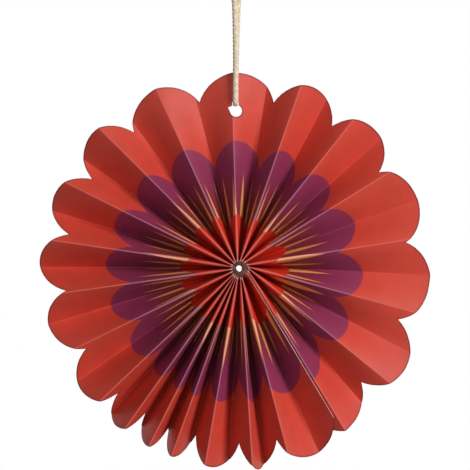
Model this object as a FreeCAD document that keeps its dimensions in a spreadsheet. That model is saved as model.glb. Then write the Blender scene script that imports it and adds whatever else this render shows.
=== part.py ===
# Paper fan rosette on a loop of twine, in millimetres, +Z up, front towards -Y.
# The origin is the hanging point, where a hook carries the loop under its knot.
import FreeCAD, Part
import Sketcher

import math
import os

from FreeCAD import Placement, Rotation, Vector

# Driving dimensions: name, value, what it is
sizeRows = (
    ("panel_width", 20.0, "flat width of one panel, from fold to fold"),
    ("paper_thickness", 0.24, "patterned card"),
    ("rim_radius", 100.2, "hub to the top of a scallop where the fan is tight"),
    ("rim_draw_in", 4.6, "how much nearer the scallops lie where the fan is loose"),
    ("draw_in_start", 0.45, "share of the strip where they begin to draw in"),
    ("draw_in_end", 0.80, "share of the strip where they are fully drawn in"),
    ("least_pleat_depth", 2.4, "depth left at the rim of the flattest pleat"),
    ("panels_per_scallop", 2.25, "notch to notch along the flat strip, in panels"),
    ("scallop_arc_radius", 26.0, "radius of each scallop in the flat strip"),
    ("scallop_count", 19, "scallops along the strip"),
    ("strip_start", 1.4, "from the seam fold to the strip's front end"),
    ("lap_spacing", 0.5, "middle to middle of the two layers in the glued lap"),
    ("seam_angle", 146.8, "clockwise from the top to the seam fold"),
    ("hub_front_radius", 4.3, "hub axis to the inner tips of the front folds"),
    ("hub_back_radius", 3.4, "hub axis to the inner tips of the back folds"),
    ("hub_seam_angle", 96.0, "clockwise from the top to the seam fold's inner tip"),
    ("hub_gap_angle", 66.0, "between the front tips on both sides of the seam"),
    ("hub_side", 0.45, "ring of inner tips off the hub's centre, across"),
    ("hub_rise", -0.4, "ring of inner tips off the hub's centre, upward"),
    ("facet_rows", 9, "flat facets of a twisted panel from the hub to the scallops"),
    ("rim_facets", 8, "flat facets along one panel of the scalloped rim"),
    ("scallop_foot", 2.0, "from the notches inward to the last of those facets"),
    ("hole_radius", 3.0, "punched hanging hole"),
    ("hole_side", -1.5, "hole centre across, from the hub"),
    ("hole_height", 78.85, "hole centre above the hub"),
    ("hole_point_radius", 2.0, "pointed side of the hole, beyond the fold, centre to point"),
    ("hole_point_side", -3.6, "centre of that side across, from the hub"),
    ("hole_point_height", 80.4, "centre of that side above the hub"),
    ("twine_diameter", 2.6, "two-ply twine"),
    ("twine_clearance", 0.25, "round the twine in its seat in the paper"),
    ("seat_side", -1.7, "twine across where it passes the paper, from the hub"),
    ("seat_height", 82.35, "twine's middle above the hub where it passes the paper"),
    ("hook_side", -1.2, "hanging point across, from the hub"),
    ("hook_front", 2.7, "hanging point in front of the fan's middle plane"),
    ("hook_height", 148.0, "hanging point above the hub"),
    ("glue_hole_radius", 1.55, "hole through the ring of dried glue"),
    ("glue_radius", 7.0, "outside of the ring of dried glue"),
    ("glue_thickness", 1.3, "thickness of the ring of dried glue"),
    ("glue_slope", 0.8, "width of the slope round the glue's outer rear edge"),
    ("glue_clearance", 0.1, "between the glue and the back folds"),
    ("knot_width", 9.6, "overhand knot across its middle"),
    ("knot_foot_width", 7.0, "flat foot and top of the knot"),
    ("knot_length", 8.6, "overhand knot along the twine"),
    ("tail_length", 6.0, "how far the cut ends stand above the knot"),
    ("tail_lean", 16.0, "lean of each cut end from upright, in degrees"),
)

# One row for each pleat, clockwise from the seam fold: the angle that it takes
# at the rim, in degrees, and the share of that angle at which its back fold lies
pleatRows = (
    (18.4, 0.53), (10.9, 0.69), (13.7, 0.50), (10.0, 0.58), (7.1, 0.52),
    (8.6, 0.55), (10.9, 0.53), (17.6, 0.49), (18.1, 0.53), (16.5, 0.50),
    (17.8, 0.48), (18.7, 0.46), (20.1, 0.44), (22.6, 0.47), (20.9, 0.52),
    (18.9, 0.46), (19.8, 0.50), (23.0, 0.50), (23.7, 0.49), (23.2, 0.52),
    (19.5, 0.53),
)

# Share of the shorter run beside a bend of the twine that its arc takes
arcShare = 0.45

# Places along the strip, in panels, that count as the same, and the gap in
# millimetres that is closed between the edges of two facets
placeTolerance = 1e-6
sewingTolerance = 1e-3

# Route of the twine's middle from the knot down the front leg, through the
# hole and up the rear leg: right, back and up from the hanging point
twineRoute = (
    (-1.5, -0.3, 0.0),
    (-1.5, -0.3, -2.4),
    (-2.4, -0.8, -7.2),
    (-0.9, -1.3, -14.0),
    (-0.6, -1.75, -26.0),
    (-0.35, -2.3, -43.0),
    (-0.5, -2.6, -57.0),
    (-0.5, -2.6, -65.65),
    (-0.5, 2.6, -65.65),
    (-0.5, 2.62, -57.0),
    (-0.35, 2.75, -47.5),
    (0.1, 2.15, -32.0),
    (0.7, 1.0, -14.0),
    (2.4, 0.6, -7.2),
    (1.5, 0.3, -2.4),
    (1.5, 0.3, 0.0),
)


def make_sheet(doc):
    """The driving dimensions as cells with aliases."""
    sheet = doc.addObject("Spreadsheet::Sheet", "sizes")
    pleats = []
    for number, (opening, share) in enumerate(pleatRows, 1):
        pleats.append((f"pleat_opening_{number:02d}", opening, "pleat's angle at the rim"))
        pleats.append((f"valley_share_{number:02d}", share, "where its back fold lies"))
    for row, (name, value, meaning) in enumerate(sizeRows + tuple(pleats), 1):
        sheet.set(f"A{row}", name)
        sheet.set(f"B{row}", str(value))
        sheet.set(f"C{row}", meaning)
        sheet.setAlias(f"B{row}", name)
    doc.recompute()
    return sheet


def read(sheet, name):
    """One driving dimension as a plain number."""
    return float(getattr(sheet, name))


class FoldedStrip:
    """The scalloped strip of card, folded into panels and closed into a fan.

    Distances along the strip are counted in panels from the seam fold, and
    even creases are front folds. The hub's centre is this shape's origin.
    """

    def __init__(self, sheet):
        self.width = read(sheet, "panel_width")
        self.thickness = read(sheet, "paper_thickness")
        self.rimRadius = read(sheet, "rim_radius")
        self.drawIn = read(sheet, "rim_draw_in")
        self.drawInStart = read(sheet, "draw_in_start")
        self.drawInEnd = read(sheet, "draw_in_end")
        self.leastDepth = read(sheet, "least_pleat_depth")
        self.pitch = read(sheet, "panels_per_scallop")
        self.arcRadius = read(sheet, "scallop_arc_radius") / self.width
        self.start = read(sheet, "strip_start") / self.width
        self.end = self.start + self.pitch * read(sheet, "scallop_count")
        self.rows = int(read(sheet, "facet_rows"))
        self.rimSteps = int(read(sheet, "rim_facets"))
        self.lapSpacing = read(sheet, "lap_spacing")
        self.seamAngle = read(sheet, "seam_angle")
        self.frontRadius = read(sheet, "hub_front_radius")
        self.backRadius = read(sheet, "hub_back_radius")
        self.hubSeam = read(sheet, "hub_seam_angle")
        self.hubGap = read(sheet, "hub_gap_angle")
        self.hubOffset = Vector(read(sheet, "hub_side"), 0.0, read(sheet, "hub_rise"))
        self.pleats = len(pleatRows)
        self.panels = 2 * self.pleats
        self.rimAngles = self.find_rim_angles(sheet)
        self.baseDrop = self.scallop_drop(self.start) + read(sheet, "scallop_foot")

    def find_rim_angles(self, sheet):
        openings = [read(sheet, f"pleat_opening_{k:02d}") for k in range(1, self.pleats + 1)]
        shares = [read(sheet, f"valley_share_{k:02d}") for k in range(1, self.pleats + 1)]
        fullTurn = sum(openings)
        angles = [self.seamAngle]
        for opening, share in zip(openings, shares):
            turn = 360.0 * opening / fullTurn
            angles.append(angles[-1] + turn * share)
            angles.append(angles[-2] + turn)
        return angles

    def rim_angle(self, crease):
        turns, place = divmod(crease, self.panels)
        return self.rimAngles[place] + 360.0 * turns

    def hub_angle(self, crease):
        """The tips are evenly spaced round the hub, apart from the seam's gap."""
        step = (360.0 - self.hubGap) / (self.panels - 2)
        turns, place = divmod(crease, self.panels)
        seamTip = self.hubSeam + 360.0 * turns
        return seamTip if place == 0 else seamTip + self.hubGap + (place - 2) * step

    def tip_radius(self, crease):
        """How far from the hub the scallops' tops lie at this crease."""
        share = (crease % self.panels) / self.panels
        rise = (share - self.drawInStart) / (self.drawInEnd - self.drawInStart)
        rise = min(max(rise, 0.0), 1.0)
        return self.rimRadius - self.drawIn * rise * rise * (3.0 - 2.0 * rise)

    def panel_depth(self, panel):
        """Front to back at the rim, from the width that the opening leaves."""
        halfTurn = math.radians(self.rim_angle(panel + 1) - self.rim_angle(panel)) / 2.0
        chord = 2.0 * self.tip_radius(panel) * math.sin(halfTurn)
        return math.sqrt(max(self.width ** 2 - chord ** 2, self.leastDepth ** 2))

    def crease_ends(self, crease):
        """The crease's inner tip and its outer end at the scallops' top."""
        toBack = 1.0 if crease % 2 else -1.0
        hubRadius = self.backRadius if crease % 2 else self.frontRadius
        rimDepth = (self.panel_depth(crease - 1) + self.panel_depth(crease)) / 2.0
        tip = polar(hubRadius, self.hub_angle(crease), toBack * self.width / 2.0)
        outer = polar(self.tip_radius(crease), self.rim_angle(crease), toBack * rimDepth / 2.0)
        return tip + self.hubOffset, outer

    def skin_line(self, crease, front, side):
        """One edge of a skin along a crease, as its inner and outer end.

        The outside of a fold is a narrow flat, one thickness to each side of
        the crease, and the inside is a sharp line. side is -1 for the panel
        before the crease and 1 for the panel after it.
        """
        inner, outer = self.crease_ends(crease)
        along = (outer - inner).normalize()
        outward = Vector(0.0, 1.0 if crease % 2 else -1.0, 0.0)
        outward = (outward - along * outward.dot(along)).normalize()
        clockwise = Vector(0.0, 1.0, 0.0).cross(along).normalize()
        onOutside = front == (crease % 2 == 0)
        if onOutside:
            offset = outward * (self.thickness / 2.0) + clockwise * (side * self.thickness)
        else:
            offset = outward * (-self.thickness / 2.0)
        return inner + offset, outer + offset

    def lap_offset(self, panel, share):
        """Keeps the two layers of the glued lap apart, on both sides of the lap's middle."""
        if panel == 0:
            amount = self.lapSpacing * (1.0 - share)
        elif panel == self.panels:
            amount = -self.lapSpacing * share
        else:
            return Vector()
        first = self.crease_ends(0)
        second = self.crease_ends(1)
        across = (second[0] + second[1] - first[0] - first[1]).normalize()
        along = (first[1] - first[0]).normalize()
        forward = along.cross(across).normalize()
        if forward.y > 0.0:
            forward = forward * -1.0
        return forward * amount

    def scallop_drop(self, place):
        """Depth below the scallop's top, at a distance along the strip."""
        offset = (place - self.start) % self.pitch - self.pitch / 2.0
        return (self.arcRadius - math.sqrt(self.arcRadius ** 2 - offset ** 2)) * self.width

    def skin_column(self, panel, share, front):
        """A skin's points from the hub to the rim at one place in a panel."""
        before = self.skin_line(panel, front, 1)
        after = self.skin_line(panel + 1, front, -1)
        lap = self.lap_offset(panel, share)
        inner = before[0] + (after[0] - before[0]) * share + lap
        outer = before[1] + (after[1] - before[1]) * share + lap
        outward = (outer - inner).normalize()
        base = outer - outward * self.baseDrop
        rows = [inner + (base - inner) * row / self.rows for row in range(self.rows + 1)]
        return rows + [outer - outward * self.scallop_drop(panel + share)]

    def panel_shares(self, panel):
        """Places across the panel at which its rim is drawn, notches among them."""
        first = max(self.start, float(panel))
        last = min(self.end, panel + 1.0)
        cuts = [first]
        notch = math.ceil((first - self.start) / self.pitch + placeTolerance)
        while self.start + notch * self.pitch < last - placeTolerance:
            cuts.append(self.start + notch * self.pitch)
            notch += 1
        cuts.append(last)
        shares = [first - panel]
        for low, high in zip(cuts, cuts[1:]):
            steps = max(1, round((high - low) * self.rimSteps))
            shares += [low - panel + (high - low) * k / steps for k in range(1, steps + 1)]
        return shares


def polar(radius, clockwiseAngle, back):
    """A point at a radius and an angle clockwise from the top, seen from the front."""
    angle = math.radians(clockwiseAngle)
    return Vector(radius * math.sin(angle), back, radius * math.cos(angle))


def facet(*corners):
    return Part.Face(Part.makePolygon([*corners, corners[0]]))


def band(columnA, columnB):
    """Flat facets between two lines of points."""
    faces = []
    for a, b, c, d in zip(columnA, columnB, columnB[1:], columnA[1:]):
        faces += [facet(a, b, c), facet(a, c, d)]
    return faces


def panel_faces(strip, panel):
    """Both skins of a panel, with its cut edges at the rim and the hub.

    A twisted panel bends in flat facets: a ladder of them from the hub to
    the foot of the scallops, and a spread of them from there to the rim.
    """
    shares = strip.panel_shares(panel)
    faces = []
    rims = []
    hubs = []
    for front in (True, False):
        columns = [strip.skin_column(panel, share, front) for share in shares]
        first, last = columns[0], columns[-1]
        rim = [column[-1] for column in columns]
        middle = len(rim) // 2
        faces += band(first[:-1], last[:-1])
        faces += [facet(first[-2], a, b) for a, b in zip(rim[:middle], rim[1:middle + 1])]
        faces.append(facet(first[-2], rim[middle], last[-2]))
        faces += [facet(last[-2], a, b) for a, b in zip(rim[middle:], rim[middle + 1:])]
        rims.append(rim)
        hubs.append([first[0], last[0]])
    return faces + band(*rims) + band(*hubs)


def fold_faces(strip, crease):
    """The narrow flat outside a fold, and the two triangles at its ends."""
    outside = crease % 2 == 0
    before = strip.skin_column(crease - 1, 1.0, outside)
    after = strip.skin_column(crease, 0.0, outside)
    inside = strip.skin_column(crease, 0.0, not outside)
    hubEnd = facet(before[0], after[0], inside[0])
    rimEnd = facet(before[-1], after[-1], inside[-1])
    return band(before, after) + [hubEnd, rimEnd]


def end_faces(strip, place):
    """The cut end of the strip."""
    panel = math.floor(place)
    return band(*[strip.skin_column(panel, place - panel, front) for front in (True, False)])


def folded_sheet(sheet):
    """The folded strip as one closed solid about the hub's centre."""
    strip = FoldedStrip(sheet)
    lastPanel = math.ceil(strip.end) - 1
    faces = end_faces(strip, strip.start) + end_faces(strip, strip.end)
    for panel in range(lastPanel + 1):
        faces += panel_faces(strip, panel)
    for crease in range(1, lastPanel + 1):
        faces += fold_faces(strip, crease)
    skin = Part.makeCompound(faces)
    skin.sewShape(sewingTolerance)
    return Part.makeSolid(skin.Shells[0])


def straight(start, end):
    return Part.LineSegment(start, end).toShape()


def rounded_path(points):
    """Straight runs joined by tangent arcs as large as their runs allow."""
    corners = [Vector(*point) for point in points]
    edges = []
    radii = []
    reached = corners[0]
    for before, corner, after in zip(corners, corners[1:], corners[2:]):
        toBefore = (before - corner).normalize()
        toAfter = (after - corner).normalize()
        halfTurn = (math.pi - toBefore.getAngle(toAfter)) / 2.0
        shorterRun = min((before - corner).Length, (after - corner).Length)
        cutBack = arcShare * shorterRun
        radius = cutBack / math.tan(halfTurn)
        towardCentre = (toBefore + toAfter).normalize()
        middle = corner + towardCentre * (radius / math.cos(halfTurn) - radius)
        arcStart = corner + toBefore * cutBack
        arcEnd = corner + toAfter * cutBack
        edges.append(straight(reached, arcStart))
        edges.append(Part.Arc(arcStart, middle, arcEnd).toShape())
        radii.append(radius)
        reached = arcEnd
    edges.append(straight(reached, corners[-1]))
    return Part.Wire(edges), radii


def twine_tube(sheet):
    """The twine as a plain round tube along its route, with its path."""
    path, radii = rounded_path(twineRoute)
    start = Vector(*twineRoute[0])
    heading = Vector(*twineRoute[1]) - start
    radius = read(sheet, "twine_diameter") / 2.0
    section = Part.Wire(Part.makeCircle(radius, start, heading))
    return path.makePipeShell([section], True, False), path, radii


def hang(feature):
    """Hangs a shape that is built about the hub's centre from the hanging point."""
    feature.setExpression(".Placement.Base.x", "-sizes.hook_side")
    feature.setExpression(".Placement.Base.y", "sizes.hook_front")
    feature.setExpression(".Placement.Base.z", "-sizes.hook_height")


def punch(doc, kind, name, radiusName, radius, side, height):
    """A cylinder or prism from front to back through the sheet, in the hub's frame."""
    tool = doc.addObject(kind, name)
    tool.setExpression(radiusName, radius)
    tool.setExpression("Height", "2 * sizes.panel_width")
    pointLeft = Rotation(Vector(0, 0, 1), 180)
    tool.Placement = Placement(Vector(), Rotation(Vector(1, 0, 0), 90) * pointLeft)
    tool.setExpression(".Placement.Base.x", side)
    tool.setExpression(".Placement.Base.y", "sizes.panel_width")
    tool.setExpression(".Placement.Base.z", height)
    return tool


def make_fan(doc, sheet):
    """The folded strip with its punched hole and the twine's seat in it."""
    strip = doc.addObject("Part::Feature", "folded_strip")
    strip.Shape = folded_sheet(sheet)
    hole = punch(doc, "Part::Cylinder", "punched_hole", "Radius", "sizes.hole_radius",
                 "sizes.hole_side", "sizes.hole_height")
    point = punch(doc, "Part::Prism", "hole_point", "Circumradius", "sizes.hole_point_radius",
                  "sizes.hole_point_side", "sizes.hole_point_height")
    point.Polygon = 3
    seat = punch(doc, "Part::Cylinder", "twine_seat", "Radius",
                 "sizes.twine_diameter / 2 + sizes.twine_clearance",
                 "sizes.seat_side", "sizes.seat_height")
    opening = doc.addObject("Part::MultiFuse", "hole_and_seat")
    opening.Shapes = [hole, point, seat]
    fan = doc.addObject("Part::Cut", "pleated_fan")
    fan.Base = strip
    fan.Tool = opening
    hang(fan)
    return fan


def make_hub_glue(doc, sheet):
    """The ring of dried glue behind the hub, which holds the folds together."""
    body = doc.addObject("PartDesign::Body", "hub_glue")
    plane = next(f for f in body.Origin.OriginFeatures if f.Role == "XY_Plane")
    axis = next(f for f in body.Origin.OriginFeatures if f.Role == "Y_Axis")
    profile = body.newObject("Sketcher::SketchObject", "glue_profile")
    profile.AttachmentSupport = [(plane, "")]
    profile.MapMode = "FlatFace"
    hole, outside, slope, front, thickness = (read(sheet, name) for name in (
        "glue_hole_radius", "glue_radius", "glue_slope", "panel_width", "glue_thickness"))
    front /= 2.0
    rear = front + thickness
    corners = (Vector(hole, front, 0), Vector(outside, front, 0),
               Vector(outside - slope, rear, 0), Vector(hole, rear, 0))
    for start, end in zip(corners, corners[1:] + corners[:1]):
        profile.addGeometry(Part.LineSegment(start, end))
    for side in range(4):
        profile.addConstraint(Sketcher.Constraint("Coincident", side, 2, (side + 1) % 4, 1))
    for side, kind in ((0, "Horizontal"), (2, "Horizontal"), (3, "Vertical")):
        profile.addConstraint(Sketcher.Constraint(kind, side))
    seat = "sizes.panel_width / 2 + sizes.paper_thickness / 2 + sizes.glue_clearance"
    distances = (
        ("DistanceX", 0, 1, hole, "sizes.glue_hole_radius"),
        ("DistanceX", 0, 2, outside, "sizes.glue_radius"),
        ("DistanceX", 1, 2, outside - slope, "sizes.glue_radius - sizes.glue_slope"),
        ("DistanceY", 0, 1, front, seat),
        ("DistanceY", 1, 2, rear, seat + " + sizes.glue_thickness"),
    )
    for kind, line, end, value, rule in distances:
        number = profile.addConstraint(Sketcher.Constraint(kind, -1, 1, line, end, value))
        profile.setExpression(f"Constraints[{number}]", rule)
    ring = body.newObject("PartDesign::Revolution", "glue_ring")
    ring.Profile = profile
    ring.ReferenceAxis = (axis, [""])
    ring.Angle = 360.0
    body.Tip = ring
    hang(body)
    return body


def make_knot(doc, sheet):
    """The overhand knot as a barrel on a flat foot, with two cut ends."""
    halves = []
    for name, lower, upper, height in (
            ("lower_half", "sizes.knot_foot_width / 2", "sizes.knot_width / 2", "0"),
            ("upper_half", "sizes.knot_width / 2", "sizes.knot_foot_width / 2",
             "sizes.knot_length / 2")):
        half = doc.addObject("Part::Cone", name)
        half.setExpression("Radius1", lower)
        half.setExpression("Radius2", upper)
        half.setExpression("Height", "sizes.knot_length / 2")
        half.setExpression(".Placement.Base.z", height)
        halves.append(half)
    tails = []
    for name, lean in (("left_tail", "-sizes.tail_lean"), ("right_tail", "sizes.tail_lean")):
        tail = doc.addObject("Part::Cylinder", name)
        tail.setExpression("Radius", "sizes.twine_diameter / 2")
        tail.setExpression("Height", "sizes.knot_length / 2 + sizes.tail_length")
        tail.Placement = Placement(Vector(), Rotation(Vector(0, 1, 0), read(sheet, "tail_lean")))
        tail.setExpression(".Placement.Base.z", "sizes.knot_length / 2")
        tail.setExpression(".Placement.Rotation.Angle", lean)
        tails.append(tail)
    knot = doc.addObject("Part::MultiFuse", "twine_knot")
    knot.Shapes = halves + tails
    return knot


def check(doc, parts):
    """Stops at a failed object or an unsound shape."""
    for thing in doc.Objects:
        if {"Invalid", "Error"} & set(thing.State):
            raise RuntimeError(f"{thing.Name} did not compute: {thing.State}")
    for part in parts:
        if part.Shape.isNull() or not part.Shape.isValid():
            raise RuntimeError(f"{part.Label} has no sound shape")


def main():
    doc = FreeCAD.newDocument("paper_fan_rosette")
    sheet = make_sheet(doc)
    fan = make_fan(doc, sheet)
    glue = make_hub_glue(doc, sheet)
    twine = doc.addObject("Part::Feature", "twine")
    twine.Shape, path, radii = twine_tube(sheet)
    knot = make_knot(doc, sheet)
    doc.recompute()
    parts = (fan, glue, twine, knot)
    check(doc, parts)
    sectionArea = math.pi * read(sheet, "twine_diameter") ** 2 / 4.0
    print("twine bend radii:", [round(radius, 1) for radius in radii])
    print(f"twine {path.Length:.1f} long, volume over section times length "
          f"{twine.Shape.Volume / (sectionArea * path.Length):.4f}")
    os.makedirs("parts", exist_ok=True)
    for part in parts:
        part.Shape.exportStep(f"parts/{part.Label}.step")
        box = part.Shape.BoundBox
        print(f"{part.Label}: {part.Shape.Volume:.0f} cubic mm, {len(part.Shape.Faces)} faces, "
              f"{box.XMin:.1f}..{box.XMax:.1f} {box.YMin:.1f}..{box.YMax:.1f} "
              f"{box.ZMin:.1f}..{box.ZMax:.1f}")


main()
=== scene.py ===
# Paper fan rosette on a loop of twine: printed card, dried glue, twine and its knot
import math

import bpy
import numpy as np
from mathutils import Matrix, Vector, noise


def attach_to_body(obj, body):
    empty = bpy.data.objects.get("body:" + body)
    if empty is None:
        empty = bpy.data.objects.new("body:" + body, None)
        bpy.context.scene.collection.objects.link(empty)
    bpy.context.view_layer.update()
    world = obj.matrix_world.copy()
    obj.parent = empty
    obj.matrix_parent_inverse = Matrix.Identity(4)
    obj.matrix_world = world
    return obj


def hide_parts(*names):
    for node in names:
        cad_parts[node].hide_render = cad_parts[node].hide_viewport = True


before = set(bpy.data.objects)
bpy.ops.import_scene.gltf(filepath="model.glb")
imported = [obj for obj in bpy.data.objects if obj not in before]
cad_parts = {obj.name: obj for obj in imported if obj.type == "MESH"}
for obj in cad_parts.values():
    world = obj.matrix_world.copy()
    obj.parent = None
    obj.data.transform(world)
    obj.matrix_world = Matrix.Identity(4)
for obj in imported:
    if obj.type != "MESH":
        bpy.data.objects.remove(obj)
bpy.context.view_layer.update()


# Camera, light and stage
studio = {
    "pictureCentre": (-0.0008, -0.13125),   # across and up, at the middle of the picture
    "pictureWidth": 0.235,                  # what the picture spans at the fan
    "cameraDistance": 1.4,
    "sensorWidth": 36.0,
    "lamps": {                              # place, size and power
        "key": ((0.95, -0.95, 0.25), 0.55, 18.2),       # from the right and a little above
        "fill": ((-0.45, -1.55, -0.10), 1.3, 6.0),      # broad, from left of the camera
        "back": ((0.50, 1.40, 0.40), 1.0, 9.0),         # shows the plain back
    },
    "worldStrength": 0.085,
    "floorDrop": 1.3,                       # the floor lies well below a hanging thing
    "floorSize": 7.0,
    "floorColour": (0.80, 0.80, 0.79),
    "floorRoughness": 0.8,
}


def makeCamera():
    camera = bpy.data.objects.new("camera", bpy.data.cameras.new("camera"))
    across, up = studio["pictureCentre"]
    camera.location = (across, -studio["cameraDistance"], up)
    camera.rotation_euler = (math.radians(90), 0, 0)
    camera.data.sensor_width = studio["sensorWidth"]
    camera.data.lens = studio["sensorWidth"] * studio["cameraDistance"] / studio["pictureWidth"]
    bpy.context.scene.collection.objects.link(camera)
    bpy.context.scene.camera = camera


def makeLamp(name, place, size, power):
    lamp = bpy.data.objects.new(name, bpy.data.lights.new(name, "AREA"))
    lamp.data.shape = "DISK"
    lamp.data.size = size
    lamp.data.energy = power
    lamp.location = place
    across, up = studio["pictureCentre"]
    toFan = Vector((across, 0, up)) - lamp.location
    lamp.rotation_euler = toFan.to_track_quat("-Z", "Y").to_euler()
    bpy.context.scene.collection.objects.link(lamp)


# Node helpers
def addNode(tree, kind, inputs=(), **settings):
    node = tree.nodes.new(kind)
    for name, value in settings.items():
        setattr(node, name, value)
    for key, value in dict(inputs).items():
        if isinstance(value, bpy.types.NodeSocket):
            tree.links.new(value, node.inputs[key])
        else:
            node.inputs[key].default_value = value
    return node


def calc(tree, operation, *values):
    return addNode(tree, "ShaderNodeMath", enumerate(values), operation=operation).outputs[0]


def softStep(tree, value, low, high):                       # 0 below low, 1 above high
    inputs = {"Value": value, "From Min": low, "From Max": high}
    node = addNode(tree, "ShaderNodeMapRange", inputs, interpolation_type="SMOOTHSTEP")
    return node.outputs[0]


def mixColour(tree, share, first, second):
    node = addNode(tree, "ShaderNodeMix", {"Factor": share}, data_type="RGBA")
    for place, value in ((6, first), (7, second)):
        if isinstance(value, bpy.types.NodeSocket):
            tree.links.new(value, node.inputs[place])
        else:
            node.inputs[place].default_value = (*value, 1.0)
    return node.outputs[2]


def addNoise(tree, where, scale, detail, roughness=0.5):
    inputs = {"Vector": where, "Scale": scale, "Detail": detail, "Roughness": roughness}
    return addNode(tree, "ShaderNodeTexNoise", inputs).outputs[0]


def addBump(tree, shader, height, strength, distance):
    inputs = {"Height": height, "Strength": strength, "Distance": distance}
    bump = addNode(tree, "ShaderNodeBump", inputs)
    tree.links.new(bump.outputs[0], shader.inputs["Normal"])


def distanceFrom(tree, across, up):                         # seen from the front
    where = addNode(tree, "ShaderNodeTexCoord").outputs["Object"]
    flat = addNode(tree, "ShaderNodeVectorMath", {0: where, 1: (1.0, 0.0, 1.0)},
                   operation="MULTIPLY").outputs[0]
    far = addNode(tree, "ShaderNodeVectorMath", {0: flat, 1: (across, 0.0, up)},
                  operation="DISTANCE")
    return far.outputs["Value"]


def newMaterial(name, roughness, specular=0.5):
    material = bpy.data.materials.new(name)
    material.use_nodes = True
    shader = material.node_tree.nodes["Principled BSDF"]
    shader.inputs["Roughness"].default_value = roughness
    shader.inputs["Specular IOR Level"].default_value = specular
    return material, material.node_tree, shader


def makeStage():
    world = bpy.data.worlds.new("studio")
    bpy.context.scene.world = world
    world.use_nodes = True
    tree = world.node_tree
    rays = addNode(tree, "ShaderNodeLightPath")
    seen = calc(tree, "MAXIMUM", rays.outputs["Is Camera Ray"], rays.outputs["Is Glossy Ray"])
    seen = calc(tree, "MAXIMUM", seen, rays.outputs["Is Transmission Ray"])
    level = studio["worldStrength"]
    shown = mixColour(tree, seen, (level, level, level), (1.0, 1.0, 1.0))
    tree.links.new(shown, tree.nodes["Background"].inputs["Color"])

    half = studio["floorSize"] / 2
    low = -studio["floorDrop"]
    corners = [(-half, -half, low), (half, -half, low), (half, half, low), (-half, half, low)]
    floor = newPiece("floor", corners, [(0, 1, 2, 3)])
    material, tree, shader = newMaterial("pale_floor", studio["floorRoughness"])
    shader.inputs["Base Color"].default_value = (*studio["floorColour"], 1.0)
    floor.data.materials.append(material)


# Mesh helpers
def addLayer(mesh, name, cornerPlaces):                     # a UV for each vertex
    layer = mesh.uv_layers.new(name=name)
    corners = np.zeros(len(mesh.loops), np.int32)
    mesh.loops.foreach_get("vertex_index", corners)
    layer.data.foreach_set("uv", np.asarray(cornerPlaces, np.float32)[corners].ravel())


def newPiece(name, vertices, faces, cornerPlaces=None):
    mesh = bpy.data.meshes.new(name)
    mesh.from_pydata([tuple(v) for v in vertices], [], faces)
    if cornerPlaces is not None:
        addLayer(mesh, "surface", cornerPlaces)
    mesh.polygons.foreach_set("use_smooth", [True] * len(mesh.polygons))
    piece = bpy.data.objects.new(name, mesh)
    bpy.context.scene.collection.objects.link(piece)
    return piece


def splinePoints(route, resolution=8):                      # one smooth curve along a route
    curve = bpy.data.curves.new("route", "CURVE")
    curve.dimensions = "3D"
    curve.resolution_u = resolution
    spline = curve.splines.new("NURBS")
    spline.points.add(len(route) - 1)
    for point, place in zip(spline.points, route):
        point.co = (*place, 1.0)
    spline.order_u = 3
    spline.use_endpoint_u = True
    holder = bpy.data.objects.new("route", curve)
    bpy.context.scene.collection.objects.link(holder)
    line = bpy.data.meshes.new_from_object(holder)
    points = np.array([vertex.co for vertex in line.vertices])
    bpy.data.objects.remove(holder)
    return points


def carryFrames(points):                                    # a tangent and two sides for each
    tangents = np.gradient(points, axis=0)
    tangents /= np.linalg.norm(tangents, axis=1)[:, None]
    side = np.cross(tangents[0], (0.0, 1.0, 0.0))
    if np.linalg.norm(side) < 0.1:
        side = np.cross(tangents[0], (1.0, 0.0, 0.0))
    sides = []
    for tangent in tangents:
        side = side - tangent * np.dot(side, tangent)
        side /= np.linalg.norm(side)
        sides.append(side)
    sides = np.array(sides)
    return tangents, sides, np.cross(tangents, sides)


def lengthsAlong(points):
    steps = np.linalg.norm(np.diff(points, axis=0), axis=1)
    return np.concatenate(([0.0], np.cumsum(steps)))


def spacedPoints(points, spacing):                          # the same line, evenly divided
    along = lengthsAlong(points)
    wanted = np.linspace(0.0, along[-1], max(3, int(along[-1] / spacing)))
    return np.column_stack([np.interp(wanted, along, points[:, axis]) for axis in range(3)])


def tubeParts(points, sides, ups, sizes, sideCount):        # a closed oval tube along points
    along = lengthsAlong(points)
    turns = np.linspace(0.0, 2 * math.pi, sideCount, endpoint=False)
    vertices = []
    places = []
    for row, point in enumerate(points):
        for turn in turns:
            outward = (sides[row] * (math.cos(turn) * sizes[0])
                       + ups[row] * (math.sin(turn) * sizes[1]))
            vertices.append(point + outward)
            places.append((along[row], turn / (2 * math.pi)))
    faces = []
    for row in range(len(points) - 1):
        for k in range(sideCount):
            a = row * sideCount + k
            b = row * sideCount + (k + 1) % sideCount
            faces.append((a, b, b + sideCount, a + sideCount))
    last = (len(points) - 1) * sideCount
    faces.append(tuple(range(sideCount))[::-1])
    faces.append(tuple(range(last, last + sideCount)))
    return vertices, faces, places


def joinParts(parts):
    vertices, faces, places = [], [], []
    for partVertices, partFaces, partPlaces in parts:
        start = len(vertices)
        vertices += partVertices
        faces += [tuple(start + k for k in face) for face in partFaces]
        places += partPlaces
    return vertices, faces, places


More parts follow.
